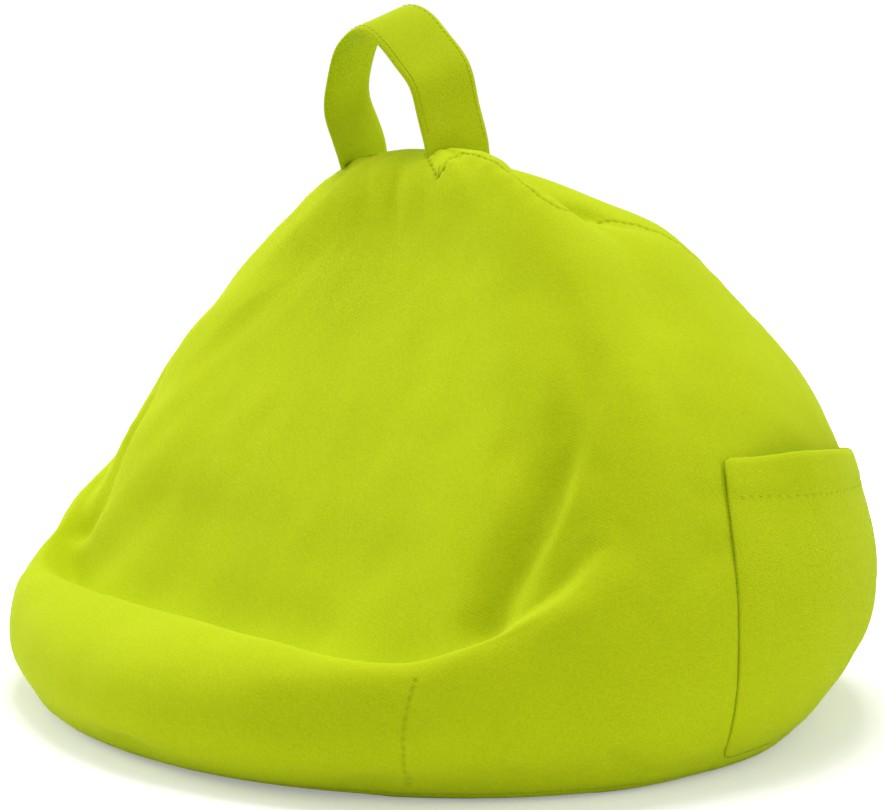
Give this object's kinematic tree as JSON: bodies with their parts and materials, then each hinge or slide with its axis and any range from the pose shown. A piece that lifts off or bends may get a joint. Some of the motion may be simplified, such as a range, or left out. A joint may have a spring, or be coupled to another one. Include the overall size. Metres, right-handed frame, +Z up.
{
  "type": "tablet cushion stand",
  "caption": "Soft filled lime cloth cushion that holds a tablet upright: rolled front lip, slot, sloping rest, carry loop and side pocket.",
  "frame": {"origin": "middle of the footprint on the floor", "axes": "+X to the right of somebody facing the stand, -Y to its front lip, +Z up"},
  "size_m": [0.353, 0.3144, 0.2741],
  "materials": {
    "bag_cloth": "matt lime green cotton twill over loose bead filling",
    "pocket_cloth": "matt lime green cotton twill",
    "handle_cloth": "matt lime green cotton twill, folded to a flat strap"
  },
  "bodies": {
    "root": {"filled_bag": "bag_cloth", "side_pocket": "pocket_cloth", "carry_handle": "handle_cloth"}
  },
  "joints": []
}
